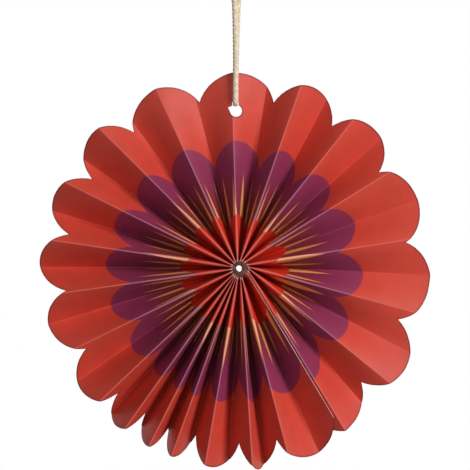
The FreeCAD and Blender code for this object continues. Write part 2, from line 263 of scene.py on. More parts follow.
# Twine: two plies twisted together, hung from the knot and led through the hole
twine = {
    "diameter": 0.0026,
    "length": 0.135,
    "plyRadius": 0.00082,       # outwards; a ply is pressed wider the other way
    "plyWidth": 0.00133,
    "plyOffset": 0.00050,       # from the twine's middle to a ply's middle
    "twistLength": 0.0080,      # one full turn of the plies
    "plySides": 16,
    "spacing": 0.00033,
    "colour": (0.800, 0.700, 0.520),
    "shadeColour": (0.600, 0.470, 0.300),
    "lightColour": (0.860, 0.770, 0.620),
    "lightStrength": 0.35,
    "fibresAround": 2.4,        # of the fibre pattern: its turns round a ply, and its
    "fibreSlant": -0.22,        # slant and stretch for each mm along it
    "fibreStretch": 0.12,
    "fibreScale": 5.0,
    "fibreRange": (0.34, 0.62),
    "patchScale": 420.0,
    "patchRange": (0.35, 0.75),
    "bumpStrength": 0.5,
    "bumpDistance": 0.0001,
    "roughness": 0.85,
    "sheen": 0.25,
    "sheenRoughness": 0.5,
    "route": (                  # down the front, through the hole and up the back
        (-0.0015, -0.0003, 0.0),
        (-0.0015, -0.0003, -0.0024),
        (-0.0024, -0.0008, -0.0072),
        (-0.0009, -0.0013, -0.0140),
        (-0.0006, -0.00175, -0.0260),
        (-0.00035, -0.0023, -0.0430),
        (-0.0005, -0.0026, -0.0570),
        (-0.0005, -0.0026, -0.06565),
        (-0.0005, 0.0026, -0.06565),
        (-0.0005, 0.00262, -0.0570),
        (-0.00035, 0.00275, -0.0475),
        (0.0001, 0.00215, -0.0320),
        (0.0007, 0.0010, -0.0140),
        (0.0024, 0.0006, -0.0072),
        (0.0015, 0.0003, -0.0024),
        (0.0015, 0.0003, 0.0),
    ),
}


def plyParts(points, squeeze=1.0):                          # both plies along one line
    tangents, sides, ups = carryFrames(points)
    along = lengthsAlong(points)
    parts = []
    for phase in (0.0, math.pi):
        turn = phase - 2 * math.pi * along / twine["twistLength"]
        offset = sides * np.cos(turn)[:, None] + ups * np.sin(turn)[:, None]
        ply = points + offset * (twine["plyOffset"] * squeeze)
        across = np.cross(tangents, offset)
        sizes = (twine["plyRadius"] * squeeze, twine["plyWidth"] * squeeze)
        parts.append(tubeParts(ply, offset, across, sizes, twine["plySides"]))
    return parts


def makeTwineMaterial():
    material, tree, shader = newMaterial("twine_fibre", twine["roughness"])
    surface = addNode(tree, "ShaderNodeUVMap", uv_map="surface")
    split = addNode(tree, "ShaderNodeSeparateXYZ", {0: surface.outputs[0]})
    along = calc(tree, "MULTIPLY", split.outputs[0], 1000.0)        # mm along the ply
    slant = calc(tree, "MULTIPLY", along, twine["fibreSlant"])
    slanted = calc(tree, "MULTIPLY_ADD", split.outputs[1], twine["fibresAround"], slant)
    stretched = calc(tree, "MULTIPLY", along, twine["fibreStretch"])
    fibre = addNode(tree, "ShaderNodeCombineXYZ", {0: slanted, 1: stretched}).outputs[0]
    strands = addNoise(tree, fibre, twine["fibreScale"], 3.0, 0.6)
    where = addNode(tree, "ShaderNodeTexCoord").outputs["Object"]
    patches = addNoise(tree, where, twine["patchScale"], 2.0)
    share = softStep(tree, strands, *twine["fibreRange"])
    colour = mixColour(tree, share, twine["shadeColour"], twine["colour"])
    lift = softStep(tree, patches, *twine["patchRange"])
    lift = calc(tree, "MULTIPLY", lift, twine["lightStrength"])
    colour = mixColour(tree, lift, colour, twine["lightColour"])
    tree.links.new(colour, shader.inputs["Base Color"])
    addBump(tree, shader, strands, twine["bumpStrength"], twine["bumpDistance"])
    shader.inputs["Sheen Weight"].default_value = twine["sheen"]
    shader.inputs["Sheen Roughness"].default_value = twine["sheenRoughness"]
    return material


def makeTwine(material):
    points = spacedPoints(splinePoints(twine["route"]), twine["spacing"])
    vertices, faces, places = joinParts(plyParts(points))
    piece = newPiece("twine_loop", vertices, faces, places)
    piece.data.materials.append(material)
    return piece, points


# Knot: both legs tied in one overhand knot, with the cut ends above it
knot = {
    "squeeze": 0.90,            # the twine is pressed thinner inside the knot
    "wrapRadius": 0.00345,
    "wrapTop": 0.0066,
    "wrapBottom": 0.0021,
    "wrapTurns": 1.15,
    "wrapStart": -60.0,         # in degrees from the right, seen from above
    "wrapSteps": 14,
    "wrapEnds": (0.45, 0.55),   # the share of its radius that the wrap begins and ends with
    "wrapWidening": 3.0,
    "legSpacing": 0.00207,      # middle to middle of the two legs in the wrap
    "upRoute": ((0.00115, -0.00115, 0.0022), (0.00115, -0.00115, 0.0050)),
    "tailRoute": (              # both routes are the rear leg's; the front leg's are mirrored
        (0.00115, 0.00115, 0.0040),
        (0.00115, 0.00115, 0.0072),
        (0.001495, 0.00069, 0.0096),
        (0.0022, 0.00023, 0.0127),
        (0.0030, 0.0, 0.0142),
    ),
}


def knotRoute(side):                                        # -1 for the front leg, 1 for the rear
    first, last = knot["wrapEnds"]
    lift = knot["legSpacing"] / 2 * side
    wrap = []
    for k in range(knot["wrapSteps"] + 1):
        share = k / knot["wrapSteps"]
        angle = math.radians(knot["wrapStart"]) + share * knot["wrapTurns"] * 2 * math.pi
        height = knot["wrapTop"] + (knot["wrapBottom"] - knot["wrapTop"]) * share
        opening = first + knot["wrapWidening"] * share
        closing = last + knot["wrapWidening"] * (1 - share)
        radius = knot["wrapRadius"] * min(1.0, opening, closing)
        wrap.append((radius * math.cos(angle), radius * math.sin(angle), height + lift))
    foot = twine["route"][0 if side < 0 else -1]
    up = [(x * side, y, z) for x, y, z in knot["upRoute"]]
    tail = [(x * side, y, z) for x, y, z in knot["tailRoute"]]
    return [foot] + up + wrap + tail


def makeKnot(material):
    parts = []
    for side in (-1, 1):
        points = spacedPoints(splinePoints(knotRoute(side)), twine["spacing"])
        parts += plyParts(points, knot["squeeze"])
    vertices, faces, places = joinParts(parts)
    piece = newPiece("overhand_knot", vertices, faces, places)
    piece.data.materials.append(material)
    return piece


# Card: a scalloped strip, folded into panels and closed into a fan
card = {
    "panelWidth": 0.020,
    "thickness": 0.00024,
    "rimRadius": 0.1002,
    "rimDrawIn": 0.0046,
    "drawInStart": 0.45,
    "drawInEnd": 0.80,
    "leastPleatDepth": 0.0024,
    "scallopPitch": 0.045,
    "scallopArcRadius": 0.026,
    "scallopCount": 19,
    "stripStart": 0.0014,
    "lapSpacing": 0.0005,
    "seamAngle": 146.8,
    "hubFrontRadius": 0.0043,
    "hubBackRadius": 0.0034,
    "hubSeamAngle": 96.0,
    "hubGapAngle": 66.0,
    "tipOffset": (0.00045, 0.0, -0.0004),
    "hubCentre": (0.0012, 0.0027, -0.148),
    "hubFoldRadius": 0.0007,    # how round a front fold is near the hub, and at the rim
    "rimFoldRadius": 0.00035,
    "roundFrom": 0.08,          # the share of the way out where it starts to sharpen
    "roundTo": 0.50,            # and where it is as sharp as at the rim
    "backFoldRadius": 0.0003,
    "frontFoldLimit": 0.42,     # the most a fold's radius takes of the panel's width as seen
    "backFoldLimit": 0.30,
    "panelBow": 0.42,           # 0 for flat panels, 1 for a rounded wave
    "tightBulge": 0.25,         # how much a steep panel swells forward
    "rows": 48,
    "nearFold": (0.0, 0.008, 0.018, 0.03, 0.05, 0.08, 0.14, 0.25, 0.4),     # mesh lines
    "sharpAngle": 50.0,
    "hole": (-0.0015, 0.07885, 0.0030),         # across, up and radius, from the hub
    "holeSides": 120,
    "holeTurn": 0.37,           # in sides
    "pointReach": 0.0043,       # the hole is torn to a point, this far from its middle
    "pointTurn": 158.0,         # the way the point looks, anticlockwise from the right
    "twineSeat": (-0.00028, 0.00355, 0.00169),  # worn by the twine, from the hole's middle
    "rimEdgeColour": (0.280, 0.030, 0.028),
    "cutEdgeColour": (0.850, 0.460, 0.400),
    "plainRoughness": 0.75,
    "plainMottle": (0.92, 1.04),
    "plainGrain": 0.40,
    "grainScale": 2200.0,
    "grainDepth": 0.00004,
    "cloudScale": 0.045,        # of the grain's scale, for the broader mottling
    "cloudShare": 0.6,
    "mottleRange": (0.3, 0.7),
}
pleats = (                      # clockwise from the seam: rim angle, share at the back fold
    (18.4, 0.53), (10.9, 0.69), (13.7, 0.50), (10.0, 0.58), (7.1, 0.52),
    (8.6, 0.55), (10.9, 0.53), (17.6, 0.49), (18.1, 0.53), (16.5, 0.50),
    (17.8, 0.48), (18.7, 0.46), (20.1, 0.44), (22.6, 0.47), (20.9, 0.52),
    (18.9, 0.46), (19.8, 0.50), (23.0, 0.50), (23.7, 0.49), (23.2, 0.52),
    (19.5, 0.53),
)
tipShifts = (                   # degrees that each front fold leans round the hub, from the seam
    2.0, 5.0, -1.2, 5.0, -2.0, -6.5, -11.5, -17.0, -11.5, -8.5, -4.3,
    -11.5, -4.0, -10.0, -10.5, -7.0, -10.0, -7.0, 5.0, 4.0, -3.0,
)
rimTrims = (                    # mm that the rim stands out at each notch and top in turn
    0.8, 1.1, 0.4, 1.1, 0.4, 0.2, -0.8, -0.8, -0.1, -0.6, -1.3, -0.1, -0.4,
    0.2, -0.9, -0.1, -0.3, 0.3, -0.2, 0.1, -0.2, 1.1, 0.6, 1.0, 1.2, 1.2,
    1.6, 2.2, 2.5, 2.1, 2.4, 0.6, 1.9, 0.5, 1.5, 2.2, 1.4, -2.3, -3.6,
)
panelCount = 2 * len(pleats)
pitch = card["scallopPitch"] / card["panelWidth"]           # in panels, like every place
stripStart = card["stripStart"] / card["panelWidth"]
stripEnd = stripStart + pitch * card["scallopCount"]


def findRimAngles():
    fullTurn = sum(opening for opening, share in pleats)
    angles = [card["seamAngle"]]
    for opening, share in pleats:
        turn = 360.0 * opening / fullTurn
        angles += [angles[-1] + turn * share, angles[-1] + turn]
    return angles


rimAngles = findRimAngles()


def rimAngle(crease):
    turns, place = divmod(crease, panelCount)
    return rimAngles[place] + 360.0 * turns


def tipShift(place):                                        # back folds lean as their neighbours
    before = tipShifts[place // 2]
    after = tipShifts[(place + 1) // 2 % len(tipShifts)]
    return after if place == 1 else (before + after) / 2


def hubAngle(crease):
    step = (360.0 - card["hubGapAngle"]) / (panelCount - 2)
    turns, place = divmod(crease, panelCount)
    seamTip = card["hubSeamAngle"] + 360.0 * turns + tipShift(place)
    return seamTip if place == 0 else seamTip + card["hubGapAngle"] + (place - 2) * step


def tipRadius(crease):
    share = (crease % panelCount) / panelCount
    rise = (share - card["drawInStart"]) / (card["drawInEnd"] - card["drawInStart"])
    rise = min(max(rise, 0.0), 1.0)
    return card["rimRadius"] - card["rimDrawIn"] * rise * rise * (3.0 - 2.0 * rise)


def panelDepth(panel):
    halfTurn = math.radians(rimAngle(panel + 1) - rimAngle(panel)) / 2
    chord = 2 * tipRadius(panel) * math.sin(halfTurn)
    return math.sqrt(max(card["panelWidth"] ** 2 - chord ** 2, card["leastPleatDepth"] ** 2))


def polar(radius, clockwiseAngle, back):
    angle = math.radians(clockwiseAngle)
    return np.array((radius * math.sin(angle), back, radius * math.cos(angle)))


def creaseEnds(crease):                                     # inner tip and outer end
    toBack = 1 if crease % 2 else -1
    hubRadius = card["hubBackRadius"] if crease % 2 else card["hubFrontRadius"]
    rimDepth = (panelDepth(crease - 1) + panelDepth(crease)) / 2
    tip = polar(hubRadius, hubAngle(crease), toBack * card["panelWidth"] / 2)
    outer = polar(tipRadius(crease), rimAngle(crease), toBack * rimDepth / 2)
    return np.array((tip + card["tipOffset"], outer))


creases = [creaseEnds(crease) for crease in range(-1, panelCount + 2)]


def lapForward():                                           # square to the first panel
    first, second = creases[1], creases[2]
    across = second.sum(axis=0) - first.sum(axis=0)
    forward = np.cross(first[1] - first[0], across)
    forward /= np.linalg.norm(forward)
    return forward if forward[1] < 0 else -forward


lapDirection = lapForward()


def foldTurn(reach, width, rounding):                       # the turn at both folds, by halving
    low, high = np.zeros_like(reach), np.full_like(reach, math.pi)
    for halving in range(36):
        turn = (low + high) / 2
        left = rounding * np.sin(turn) + (width - rounding * turn) * np.cos(turn)
        low = np.where(left > reach, turn, low)
        high = np.where(left > reach, high, turn)
    return turn


def panelShape(panel, shares):                              # its section at shares of the way out
    before, after = creases[panel + 1], creases[panel + 2]
    start = before[0] + (before[1] - before[0]) * shares[:, None]
    end = after[0] + (after[1] - after[0]) * shares[:, None]
    front, back = (start, end) if panel % 2 == 0 else (end, start)
    span = back - front
    reach = np.hypot(span[:, 0], span[:, 2])
    width = np.linalg.norm(span, axis=1)
    outward = front / np.hypot(front[:, 0], front[:, 2])[:, None]
    sideways = np.abs(outward[:, 0] * span[:, 2] - outward[:, 2] * span[:, 0])
    sharper = (shares - card["roundFrom"]) / (card["roundTo"] - card["roundFrom"])
    sharper = np.clip(sharper, 0.0, 1.0)
    sharper = sharper * sharper * (3.0 - 2.0 * sharper)
    wanted = card["hubFoldRadius"] + (card["rimFoldRadius"] - card["hubFoldRadius"]) * sharper
    frontRadius = np.minimum(wanted, sideways * card["frontFoldLimit"])
    backRadius = np.minimum(card["backFoldRadius"], sideways * card["backFoldLimit"])
    rounding = frontRadius + backRadius
    turn = foldTurn(reach, width, rounding)
    straight = width - rounding * turn
    deep = rounding * (1 - np.cos(turn)) + straight * np.sin(turn)
    return {"front": front, "span": span, "reach": reach, "width": width, "turn": turn,
            "frontRadius": frontRadius, "backRadius": backRadius, "straight": straight,
            "deep": deep, "lost": span[:, 1] - deep}        # a rounded fold stands less proud


def panelLine(place, shares):                               # a line up a panel, its folds rounded
    panel = math.floor(place)
    share = place - panel
    shape = panelShape(panel, shares)
    neighbour = panelShape(panel + (1 if panel % 2 else -1), shares)
    lost = (shape["lost"] + neighbour["lost"]) / 2
    frontRadius, backRadius, turn = shape["frontRadius"], shape["backRadius"], shape["turn"]
    along = shape["width"] * (1 - share if panel % 2 else share)
    firstBend = np.minimum(along / frontRadius, turn)
    lastBend = np.minimum((shape["width"] - along) / backRadius, turn)
    run = np.clip(along - frontRadius * turn, 0.0, shape["straight"])
    across = frontRadius * np.sin(firstBend) + run * np.cos(turn)
    across += backRadius * (np.sin(turn) - np.sin(lastBend))
    back = frontRadius * (1 - np.cos(firstBend)) + run * np.sin(turn)
    back += backRadius * (np.cos(lastBend) - np.cos(turn))
    way = across / shape["reach"]
    openness = (shape["reach"] / shape["width"]) ** 2
    wave = back / shape["deep"]
    tightness = np.clip(1 - 2 * openness, 0.0, 1.0)
    wave += card["tightBulge"] * shares * tightness * (wave ** 2 - wave)
    wave += card["panelBow"] * openness * ((1 - np.cos(math.pi * way)) / 2 - way)
    line = shape["front"] + shape["span"] * way[:, None]
    line[:, 1] = shape["front"][:, 1] + lost + (shape["span"][:, 1] - lost) * wave
    if panel == 0:
        line += lapDirection * (card["lapSpacing"] * (1 - share))
    if panel == panelCount:
        line -= lapDirection * (card["lapSpacing"] * share)
    return line


def scallopDrop(place):                                     # how far below the scallop's top
    radius = card["scallopArcRadius"]
    offset = ((place - stripStart) % pitch - pitch / 2) * card["panelWidth"]
    return radius - math.sqrt(radius ** 2 - offset ** 2)


def rimTrim(place):
    step = (place - stripStart) / (pitch / 2)
    return np.interp(step, range(len(rimTrims)), rimTrims) / 1000


def cardPlaces():                                           # of the mesh's lines up the card
    nearFold = card["nearFold"]
    shares = nearFold + (0.5,) + tuple(1 - share for share in nearFold[:0:-1])
    places = {stripStart, stripEnd}
    places |= {panel + share for panel in range(panelCount + 1) for share in shares}
    places |= {stripStart + pitch * k - 1e-7 for k in range(1, card["scallopCount"])}   # notches
    return sorted(place for place in places if stripStart <= place <= stripEnd)


def cardGrid():                                             # points and print places, row by row
    places = cardPlaces()
    width, rows = card["panelWidth"], card["rows"]
    points = np.zeros((rows + 1, len(places), 3))
    prints = np.zeros((rows + 1, len(places), 2))
    fromRim = np.zeros((rows + 1, len(places), 2))
    for column, place in enumerate(places):
        panel, share = math.floor(place), place % 1
        inner, outer = creases[panel + 1] * (1 - share) + creases[panel + 2] * share
        length = np.linalg.norm(outer - inner)
        shown = length - scallopDrop(place) + rimTrim(place)
        along = shown * np.linspace(0.0, 1.0, rows + 1)
        points[:, column] = panelLine(place, along / length)
        prints[:, column] = np.column_stack((np.full(rows + 1, place), (length - along) / width))
        fromRim[:, column, 0] = (shown - along) / width
    return points + np.array(card["hubCentre"]), prints, fromRim


def makeCardMesh():
    points, prints, fromRim = cardGrid()
    rowCount, columnCount = points.shape[:2]
    normals = np.cross(np.gradient(points, axis=1), np.gradient(points, axis=0))
    normals /= np.linalg.norm(normals, axis=2)[:, :, None]
    half = card["thickness"] / 2
    front = (points + normals * half).reshape(-1, 3)
    back = (points - normals * half).reshape(-1, 3)
    behind = len(front)
    faces, kinds = [], []

    def quad(kind, a, b, c, d):
        faces.append((a, b, c, d))
        kinds.append(kind)

    for row in range(rowCount - 1):
        for column in range(columnCount - 1):
            a = row * columnCount + column
            b, c, d = a + 1, a + columnCount + 1, a + columnCount
            quad(0, a, b, c, d)
            quad(1, behind + d, behind + c, behind + b, behind + a)
    top = (rowCount - 1) * columnCount
    for column in range(columnCount - 1):
        quad(2, top + column, top + column + 1, behind + top + column + 1, behind + top + column)
        quad(3, behind + column, behind + column + 1, column + 1, column)
    for row in range(rowCount - 1):
        a, d = row * columnCount, (row + 1) * columnCount
        quad(3, a, d, behind + d, behind + a)
        a, d = a + columnCount - 1, d + columnCount - 1
        quad(3, behind + a, behind + d, d, a)
    places = np.tile(prints.reshape(-1, 2), (2, 1))
    piece = newPiece("folded_card", np.concatenate((front, back)), faces, places)
    addLayer(piece.data, "rim", np.tile(fromRim.reshape(-1, 2), (2, 1)))
    return piece, kinds


def holeReach(turn):                                        # from its middle to its edge
    radius = card["hole"][2]
    offPoint = abs((turn - math.radians(card["pointTurn"]) + math.pi) % (2 * math.pi) - math.pi)
    touch = math.acos(radius / card["pointReach"])
    reach = radius / math.cos(touch - min(offPoint, touch))
    seatX, seatZ, seatRadius = card["twineSeat"]
    ahead = seatX * math.cos(turn) + seatZ * math.sin(turn)
    beside = seatX * math.sin(turn) - seatZ * math.cos(turn)
    if ahead > 0 and abs(beside) < seatRadius:
        reach = max(reach, ahead + math.sqrt(seatRadius ** 2 - beside ** 2))
    return reach


def punchHole(piece, edgeMaterial):
    hubX, hubY, hubZ = card["hubCentre"]
    across, up, radius = card["hole"]
    deep, sides = card["panelWidth"], card["holeSides"]
    outline = []
    for k in range(sides):
        turn = 2 * math.pi * (k + card["holeTurn"]) / sides
        outline.append((hubX + across + holeReach(turn) * math.cos(turn),
                        hubZ + up + holeReach(turn) * math.sin(turn)))
    vertices = [(x, hubY + depth, z) for depth in (-deep, deep) for x, z in outline]
    faces = [(sides + k, sides + (k + 1) % sides, (k + 1) % sides, k) for k in range(sides)]
    faces += [tuple(range(sides)), tuple(range(sides, 2 * sides))[::-1]]
    punch = newPiece("hole_punch", vertices, faces)
    punch.data.materials.append(edgeMaterial)
    cut = piece.modifiers.new("hole", "BOOLEAN")
    cut.operation = "DIFFERENCE"
    cut.solver = "EXACT"
    cut.material_mode = "TRANSFER"
    cut.object = punch
    bpy.context.view_layer.update()
    punched = piece.evaluated_get(bpy.context.evaluated_depsgraph_get())
    made = bpy.data.meshes.new_from_object(punched)
    piece.modifiers.clear()
    piece.data = made
    bpy.data.objects.remove(punch)


# Print and card finish
ink = {
    "coral": (0.540, 0.048, 0.028),
    "innerRed": (0.630, 0.031, 0.012),
    "purple": (0.230, 0.025, 0.073),
    "maroon": (0.200, 0.020, 0.026),            # the purple darkens towards this inwards
    "maroonShare": 0.8,
    "maroonAhead": 0.002,       # before the flames' tips and the inner red
    "orange": (0.800, 0.320, 0.098),
    "outline": (0.110, 0.014, 0.016),
    "paper": (0.800, 0.760, 0.700),
    # pale fold lines: worn ink, lightened further as a painted highlight
    "wornAndHighlight": (0.620, 0.250, 0.220),
    "wornAndHighlightInner": (0.420, 0.200, 0.170),
    "wornAndHighlightPurple": (0.700, 0.360, 0.520),
    "purpleDepth": 0.033,       # below the scallop's top, where the purple petals begin
    "innerDepth": 0.070,        # where the inner red begins
    "innerFollow": 0.75,        # how far the inner red follows the scallops
    "flameTip": 0.047,
    "flameTipSpread": 0.004,
    "flameHalfWidth": 0.0019,   # of the narrowest at its foot, on the inner red
    "flameExtraWidth": 0.0015,
    "flameBlur": (-0.0001, 0.0003),
    "flamesPerScallop": 4,
    "flameTaper": 1.15,
    "notchExtraWidth": 0.0070,  # of the drifted flames that stand in a notch of the inner red
    "notchFrom": 0.0060,        # how deep that notch is where they start to widen
    "notchTo": 0.0100,          # and where they are at full width
    "driftFrom": 27.0,          # panels along the strip where the inner print starts to drift
    "driftTo": 42.0,
    "flameDrift": 0.17,         # in scallops
    "innerDrift": 0.077,
    "inkBlur": 0.00050,
    "outlineWidth": 0.00075,
    "outlineFade": (1.3, 0.6),  # in widths, as for the fades below
    "outlineShare": 0.7,
    "foldWearAndHighlight": 0.00020,        # half width of the pale line on a front fold, worn ink with a painted highlight
    "hubWearAndHighlight": 0.00045,         # the same near the hub
    "wearAndHighlightFade": (2.0, 0.3),
    "foldWearAndHighlightShare": 0.24,
    "hubWearAndHighlightShare": 0.35,
    "nearHub": (0.040, 0.090),  # below the scallops' tops, where the wear and painted highlight grow to the hub's
    "endWear": 0.00045,         # along the strip's cut front end
    "endFade": (1.3, 0.5),
    "endWearShare": 0.7,
    "torn": (0.850, 0.480, 0.420),              # frayed inner tips
    "tornReach": 0.0013,
    "tornShare": 0.75,
    "grain": 0.35,
    "mottle": (0.90, 1.09),
    "roughness": 0.55,
    "specular": 0.35,
}


def makeGrainGroup():                                       # card fibre, for every card surface
    group = bpy.data.node_groups.new("cardGrain", "ShaderNodeTree")
    for name, way, kind in (("Vector", "INPUT", "Vector"), ("Scale", "INPUT", "Float"),
                            ("Mottle", "OUTPUT", "Float"), ("Height", "OUTPUT", "Float")):
        group.interface.new_socket(name=name, in_out=way, socket_type="NodeSocket" + kind)
    entry = addNode(group, "NodeGroupInput")
    leave = addNode(group, "NodeGroupOutput")
    where, scale = entry.outputs["Vector"], entry.outputs["Scale"]
    fine = addNoise(group, where, scale, 4.0, 0.6)
    cloud = addNoise(group, where, calc(group, "MULTIPLY", scale, card["cloudScale"]), 3.0)
    fineShare = calc(group, "MULTIPLY", fine, 1 - card["cloudShare"])
    mottle = calc(group, "MULTIPLY_ADD", cloud, card["cloudShare"], fineShare)
    group.links.new(mottle, leave.inputs["Mottle"])
    group.links.new(fine, leave.inputs["Height"])
    return group


def addGrain(tree, group, shader, strength):
    where = addNode(tree, "ShaderNodeTexCoord")
    grain = addNode(tree, "ShaderNodeGroup", node_tree=group)
    tree.links.new(where.outputs["Object"], grain.inputs["Vector"])
    grain.inputs["Scale"].default_value = card["grainScale"]
    addBump(tree, shader, grain.outputs["Height"], strength, card["grainDepth"])
    return grain.outputs["Mottle"]


def shaded(tree, colour, mottle, low, high):                # unevenly darker or lighter
    least, most = card["mottleRange"]
    inputs = {"Value": mottle, "From Min": least, "From Max": most, "To Min": low, "To Max": high}
    level = addNode(tree, "ShaderNodeMapRange", inputs).outputs[0]
    grey = addNode(tree, "ShaderNodeCombineXYZ", {0: level, 1: level, 2: level}).outputs[0]
    node = addNode(tree, "ShaderNodeMix", {"Factor": 1.0}, data_type="RGBA",
                   blend_type="MULTIPLY")
    tree.links.new(colour, node.inputs[6])
    tree.links.new(grey, node.inputs[7])
    return node.outputs[2]


def scallopShade(tree, scallop):                            # how far below the scallops' tops
    offset = calc(tree, "SUBTRACT", calc(tree, "FRACT", scallop), 0.5)
    offset = calc(tree, "MULTIPLY", offset, card["scallopPitch"])
    radius = card["scallopArcRadius"]
    under = calc(tree, "SUBTRACT", radius ** 2, calc(tree, "MULTIPLY", offset, offset))
    return calc(tree, "SUBTRACT", radius, calc(tree, "SQRT", under))


def distanceFromCut(tree, across, up, radius):              # a round cut, placed from the hub
    hubX, hubY, hubZ = card["hubCentre"]
    return calc(tree, "SUBTRACT", distanceFrom(tree, hubX + across, hubZ + up), radius)


def makePrintMaterial(grainGroup):
    width = card["panelWidth"]
    material, tree, shader = newMaterial("printed_card", ink["roughness"], ink["specular"])
    surface = addNode(tree, "ShaderNodeUVMap", uv_map="surface")
    split = addNode(tree, "ShaderNodeSeparateXYZ", {0: surface.outputs[0]})
    place = split.outputs[0]                                # in panels along the strip
    depth = calc(tree, "MULTIPLY", split.outputs[1], width)     # below the scallops' tops

    scallop = calc(tree, "DIVIDE", calc(tree, "SUBTRACT", place, stripStart), pitch)
    drift = softStep(tree, place, ink["driftFrom"], ink["driftTo"])
    drop = scallopShade(tree, scallop)
    innerDrop = scallopShade(tree, calc(tree, "MULTIPLY_ADD", drift, -ink["innerDrift"], scallop))

    blur = ink["inkBlur"]
    overPurple = calc(tree, "SUBTRACT", calc(tree, "SUBTRACT", depth, drop), ink["purpleDepth"])
    innerEdge = calc(tree, "MULTIPLY_ADD", innerDrop, ink["innerFollow"], ink["innerDepth"])
    overInner = calc(tree, "SUBTRACT", depth, innerEdge)
    inPurple = softStep(tree, overPurple, -blur, blur)
    inInner = softStep(tree, overInner, -blur, blur)
    toMaroon = softStep(tree, depth, ink["flameTip"] - ink["maroonAhead"],
                        ink["innerDepth"] - ink["maroonAhead"])
    toMaroon = calc(tree, "MULTIPLY", toMaroon, ink["maroonShare"])
    petal = mixColour(tree, toMaroon, ink["purple"], ink["maroon"])
    colour = mixColour(tree, inPurple, ink["coral"], petal)
    colour = mixColour(tree, inInner, colour, ink["innerRed"])

    flames = calc(tree, "MULTIPLY_ADD", drift, -ink["flameDrift"], scallop)
    flames = calc(tree, "MULTIPLY", flames, float(ink["flamesPerScallop"]))
    number = calc(tree, "FLOOR", flames)
    seed = addNode(tree, "ShaderNodeTexWhiteNoise", {"W": number}, noise_dimensions="1D")
    seed = seed.outputs[0]
    across = calc(tree, "ABSOLUTE", calc(tree, "SUBTRACT", calc(tree, "FRACT", flames), 0.5))
    across = calc(tree, "MULTIPLY", across, card["scallopPitch"] / ink["flamesPerScallop"])
    spread = ink["flameTipSpread"]
    tip = calc(tree, "MULTIPLY_ADD", seed, -spread, ink["flameTip"] + spread)
    length = calc(tree, "SUBTRACT", innerEdge, tip)
    rise = calc(tree, "DIVIDE", calc(tree, "SUBTRACT", depth, tip), length)
    rise = calc(tree, "MINIMUM", calc(tree, "MAXIMUM", rise, 0.0), 1.0)
    widest = calc(tree, "MULTIPLY_ADD", seed, ink["flameExtraWidth"], ink["flameHalfWidth"])
    notch = softStep(tree, innerDrop, ink["notchFrom"], ink["notchTo"])
    inNotch = calc(tree, "MULTIPLY", drift, notch)
    widest = calc(tree, "MULTIPLY_ADD", inNotch, ink["notchExtraWidth"], widest)
    edge = calc(tree, "MULTIPLY", calc(tree, "POWER", rise, ink["flameTaper"]), widest)
    inside = softStep(tree, calc(tree, "SUBTRACT", edge, across), *ink["flameBlur"])
    inFlame = calc(tree, "MULTIPLY", inside, calc(tree, "SUBTRACT", 1.0, inInner))
    colour = mixColour(tree, inFlame, colour, ink["orange"])

    rim = addNode(tree, "ShaderNodeUVMap", uv_map="rim")
    toRim = addNode(tree, "ShaderNodeSeparateXYZ", {0: rim.outputs[0]}).outputs[0]
    toRim = calc(tree, "MULTIPLY", toRim, width)
    toRim = calc(tree, "MINIMUM", toRim, distanceFromCut(tree, *card["hole"]))
    rimLine = softStep(tree, toRim, *(ink["outlineWidth"] * fade for fade in ink["outlineFade"]))
    rimLine = calc(tree, "MULTIPLY", rimLine, ink["outlineShare"])
    colour = mixColour(tree, rimLine, colour, ink["outline"])

    # pale line along each front fold, wider near the hub: worn ink with a painted highlight
    turn = calc(tree, "PINGPONG", place, 1.0)               # 0 on a front fold, 1 on a back fold
    toFront = calc(tree, "MULTIPLY", turn, width)
    nearHub = softStep(tree, depth, *ink["nearHub"])
    extraWidth = ink["hubWearAndHighlight"] - ink["foldWearAndHighlight"]
    wearAndHighlightWidth = calc(tree, "MULTIPLY_ADD", nearHub, extraWidth, ink["foldWearAndHighlight"])
    wearAndHighlightMask = softStep(tree, calc(tree, "DIVIDE", toFront, wearAndHighlightWidth), *ink["wearAndHighlightFade"])
    extraShare = ink["hubWearAndHighlightShare"] - ink["foldWearAndHighlightShare"]
    wearAndHighlightShare = calc(tree, "MULTIPLY_ADD", nearHub, extraShare, ink["foldWearAndHighlightShare"])
    wearAndHighlightMask = calc(tree, "MULTIPLY", wearAndHighlightMask, wearAndHighlightShare)
    onPurple = calc(tree, "SUBTRACT", inPurple, inInner)
    wornAndHighlight = mixColour(tree, inInner, ink["wornAndHighlight"], ink["wornAndHighlightInner"])
    wornAndHighlight = mixColour(tree, onPurple, wornAndHighlight, ink["wornAndHighlightPurple"])
    colour = mixColour(tree, wearAndHighlightMask, colour, wornAndHighlight)
    toEnd = calc(tree, "MULTIPLY", calc(tree, "SUBTRACT", place, stripStart), width)
    atEnd = softStep(tree, toEnd, *(ink["endWear"] * fade for fade in ink["endFade"]))
    atEnd = calc(tree, "MULTIPLY", atEnd, ink["endWearShare"])
    colour = mixColour(tree, atEnd, colour, ink["wornAndHighlight"])
    tipX, tipY, tipZ = card["tipOffset"]
    toTips = distanceFromCut(tree, tipX, tipZ, card["hubFrontRadius"])
    atTips = softStep(tree, toTips, ink["tornReach"], 0.0)
    atTips = calc(tree, "MULTIPLY", atTips, ink["tornShare"])
    colour = mixColour(tree, atTips, colour, ink["torn"])

    mottle = addGrain(tree, grainGroup, shader, ink["grain"])
    colour = shaded(tree, colour, mottle, *ink["mottle"])
    tree.links.new(colour, shader.inputs["Base Color"])
    return material


def makePlainMaterial(name, colour, grainGroup):
    material, tree, shader = newMaterial(name, card["plainRoughness"])
    mottle = addGrain(tree, grainGroup, shader, card["plainGrain"])
    base = addNode(tree, "ShaderNodeRGB").outputs[0]
    base.default_value = (*colour, 1.0)
    colour = shaded(tree, base, mottle, *card["plainMottle"])
    tree.links.new(colour, shader.inputs["Base Color"])
    return material


